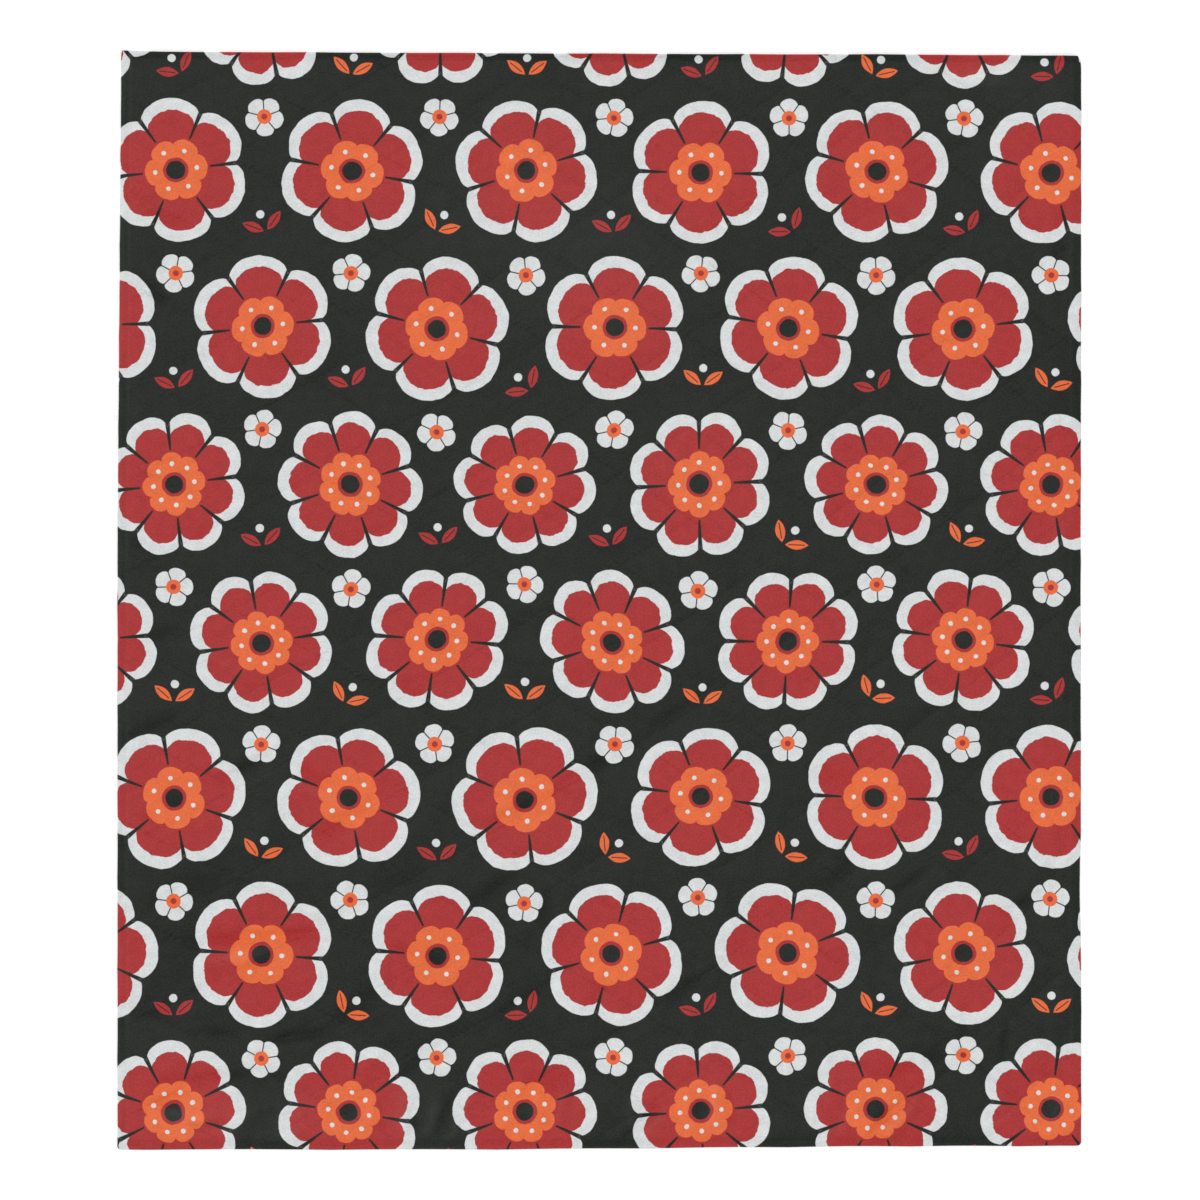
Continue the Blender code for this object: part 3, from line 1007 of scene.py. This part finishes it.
def clothFinish(name, printed):
    dye = Dye(name)
    place = dye.node("ShaderNodeUVMap", {"uv_map": "clothPlace"})
    x, y, _ = dye.apart(place)
    lineX, lineY, _ = dye.apart(dye.node("ShaderNodeUVMap", {"uv_map": "linePlace"}))
    colour = printColour(dye, place) if printed else flowerPrint["ground"]

    # threads over and under, and a fine heather from brushed fibres
    threadTurn = fullTurn / weave["threadPitch"]
    warp = x.worked("SINE", x * threadTurn)
    weft = y.worked("SINE", y * threadTurn)
    threads = warp * weft
    heather = dye.grain(place, weave["heatherScale"], 2.0) - 0.5
    broad = dye.grain(place, weave["broadScale"], 3.0) - 0.5
    wrinkles = dye.grain(place, weave["wrinkleScale"], 3.0)
    tone = heather * weave["heather"] + broad * weave["broadTone"]
    # the wrinkles' ridges painted paler and their hollows darker, as painted light and shade
    tone = tone + (wrinkles - 0.5) * weave["wrinkleLightAndShade"] + 1.0

    # gathers along both families of stitched lines
    gathers, sinks, paintedLineShade = 0.0, 0.0, 0.0
    jumble = dye.grain(place, weave["jumbleScale"]) * weave["jumble"]
    gatherTurn = fullTurn * quilt["diamondSide"] / weave["gatherPitch"]
    for cross, along in ((lineX, lineY), (lineY, lineX)):
        fromLine = abs(cross - dye.whole(cross + 0.5)) * quilt["linePitch"]
        fade = dye.clamped(1.0 - fromLine / weave["gatherReach"])
        wave = along.worked("SINE", along * gatherTurn + jumble)
        gathers = gathers + wave * fade * fade
        sink = dye.clamped(1.0 - fromLine / weave["sinkReach"])
        sinks = sinks + sink * sink
        # painted shade along the groove of the stitched line
        paintedLineShade = paintedLineShade + dye.clamped(1.0 - fromLine / weave["lineReach"])

    height = threads * weave["threadHeight"] + gathers * weave["gatherHeight"]
    height = height + wrinkles * weave["wrinkleHeight"] + heather * weave["heatherHeight"]
    height = height - sinks * weave["sink"]
    bump = dye.node("ShaderNodeBump", {}, {"Strength": 1.0, "Distance": 0.001, "Height": height})
    fibres = dye.clamped(heather * weave["fibreContrast"] + 0.5) * weave["paleFibres"]
    haze = dye.grain(place, weave["hazeScale"], 5.0) * weave["hazeContrast"] - weave["hazeLevel"]
    patchy = dye.grain(place, weave["patchScale"], 1.0) * weave["patchContrast"] - weave["patchLevel"]
    # pale fibres and haze, less the painted shade in the stitched lines' grooves
    fibresAndPaintedLight = fibres + dye.clamped(haze) * weave["haze"] - paintedLineShade * dye.clamped(patchy) * weave["paintedLineShade"]
    if printed:
        fold, _, _ = dye.apart(dye.node("ShaderNodeUVMap", {"uv_map": "foldPlace"}))
        ridge, trough = fold.worked("MAXIMUM", fold, 0.0), fold.worked("MINIMUM", fold, 0.0)
        # painted light and shade: the listed places and hem strips, crease ridges painted paler and troughs
        # darker
        fibresAndPaintedLight = fibresAndPaintedLight + paintedLightTone(dye, x, y) + ridge * weave["ridgeHighlight"] + trough * weave["troughShade"]
    colour = dye.added(dye.tinted(colour, tone), fibresAndPaintedLight)
    return dye.finish(
        Base_Color=colour,
        Roughness=weave["roughness"] + heather * weave["roughSpread"],
        Normal=bump,
        Specular_IOR_Level=weave["gloss"],
        Sheen_Weight=weave["sheen"],
        Sheen_Roughness=weave["sheenRoughness"],
    )


# The thread's own twist: how fine, how strong in tone and roughness, and how high its bump is.
twisted = {
    "scale": 2600.0,
    "tone": 0.2,
    "darkest": 0.9,
    "bump": 0.6,
    "bumpHeight": 0.0001,
    "roughness": 0.5,
    "roughSpread": 0.1,
}


def threadFinish(name):
    # thread that was printed together with the cloth it lies on
    dye = Dye(name)
    place = dye.node("ShaderNodeUVMap", {"uv_map": "clothPlace"})
    twist = dye.grain(dye.node("ShaderNodeTexCoord", {}, {}, 3), twisted["scale"], 1.0)
    colour = dye.tinted(printColour(dye, place), twist * twisted["tone"] + twisted["darkest"])
    bump = dye.node("ShaderNodeBump", {}, {
        "Strength": twisted["bump"],
        "Distance": twisted["bumpHeight"],
        "Height": twist,
    })
    roughness = twisted["roughness"] + twist * twisted["roughSpread"]
    return dye.finish(Base_Color=colour, Roughness=roughness, Normal=bump)


printedCloth = clothFinish("printedCloth", True)
plainCloth = clothFinish("plainCloth", False)
printedThread = threadFinish("printedThread")
print("finishes made")

cloth = makeCloth(printedCloth, plainCloth)
print("cloth made, triangles:", sum(len(face.vertices) - 2 for face in cloth.data.polygons))
risingStitches = makeStitches("risingStitches", quiltingPaths(1), quiltThread, printedThread)
fallingStitches = makeStitches("fallingStitches", quiltingPaths(-1), quiltThread, printedThread)
hemStitches = makeStitches("hemStitches", hemPaths(), hemThread, printedThread)
for piece in (risingStitches, fallingStitches, hemStitches):
    print(piece.name, "made, triangles:", 2 * len(piece.data.polygons))

for piece in (cloth, risingStitches, fallingStitches, hemStitches):
    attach(piece, "root")
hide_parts("quilt")

# Plain pale floor, soft light from the upper left, and a camera straight above the quilt.
studio = {
    "floorSide": 80.0,
    "floorHeight": -0.0004,
    "floorColour": (0.97, 0.97, 0.97, 1.0),
    "floorGlow": 0.12,
    "floorRoughness": 0.9,
    "floorGloss": 0.1,
    "cloudScale": 0.8,  # faint clouds in the floor's colour
    "clouds": 0.01,
    "fillStrength": 0.84,
    "keyStrength": 0.63,
    "keySoftness": 30.0,  # degrees
    "keyTurn": 136.0,  # degrees, counted from the quilt's right side
    "keyHeight": 70.0,
    "keyDistance": 5,
    "cameraHeight": 9.0,
    "frameWidth": 2.2120,  # metres of floor across the picture
    "frameMiddle": (0.0012, -0.0002),
    "sensor": 36.0,
    "farthest": 200.0,
}


def makeFloor():
    dye = Dye("paleFloor")
    place = dye.node("ShaderNodeTexCoord", {}, {}, 3)
    cloud = (dye.grain(place, studio["cloudScale"]) - 0.5) * studio["clouds"] + 1.0
    dye.finish(
        Base_Color=dye.tinted(studio["floorColour"], cloud),
        Roughness=studio["floorRoughness"],
        Specular_IOR_Level=studio["floorGloss"],
        Emission_Strength=studio["floorGlow"],
    )
    half = studio["floorSide"] / 2
    sides = ((-half, -half), (half, -half), (half, half), (-half, half))
    points = [(x, y, studio["floorHeight"]) for x, y in sides]
    return makePiece("studioFloor", points, [(0, 1, 2, 3)], [dye.material], smooth=False)


def makeLight():
    turn, height = math.radians(studio["keyTurn"]), math.radians(studio["keyHeight"])
    towards = Vector((math.cos(turn) * math.cos(height), math.sin(turn) * math.cos(height), math.sin(height)))
    lamp = bpy.data.lights.new("softKey", "SUN")
    lamp.angle = math.radians(studio["keySoftness"])
    lamp.energy = studio["keyStrength"]
    key = bpy.data.objects.new("softKey", lamp)
    key.location = towards * studio["keyDistance"]
    key.rotation_euler = towards.to_track_quat("Z", "Y").to_euler()
    bpy.context.scene.collection.objects.link(key)
    world = bpy.data.worlds.new("studioFill")
    world.use_nodes = True
    world.node_tree.nodes["Background"].inputs["Color"].default_value = (1.0, 1.0, 1.0, 1.0)
    world.node_tree.nodes["Background"].inputs["Strength"].default_value = studio["fillStrength"]
    bpy.context.scene.world = world


def makeCamera():
    lens = bpy.data.cameras.new("camera")
    lens.sensor_width = studio["sensor"]
    lens.lens = studio["sensor"] * studio["cameraHeight"] / studio["frameWidth"]
    lens.clip_end = studio["farthest"]
    camera = bpy.data.objects.new("camera", lens)
    camera.location = (*studio["frameMiddle"], studio["cameraHeight"])
    bpy.context.scene.collection.objects.link(camera)
    bpy.context.scene.camera = camera


makeFloor()
makeLight()
makeCamera()
bpy.context.scene.view_settings.view_transform = "Standard"
print("studio made")
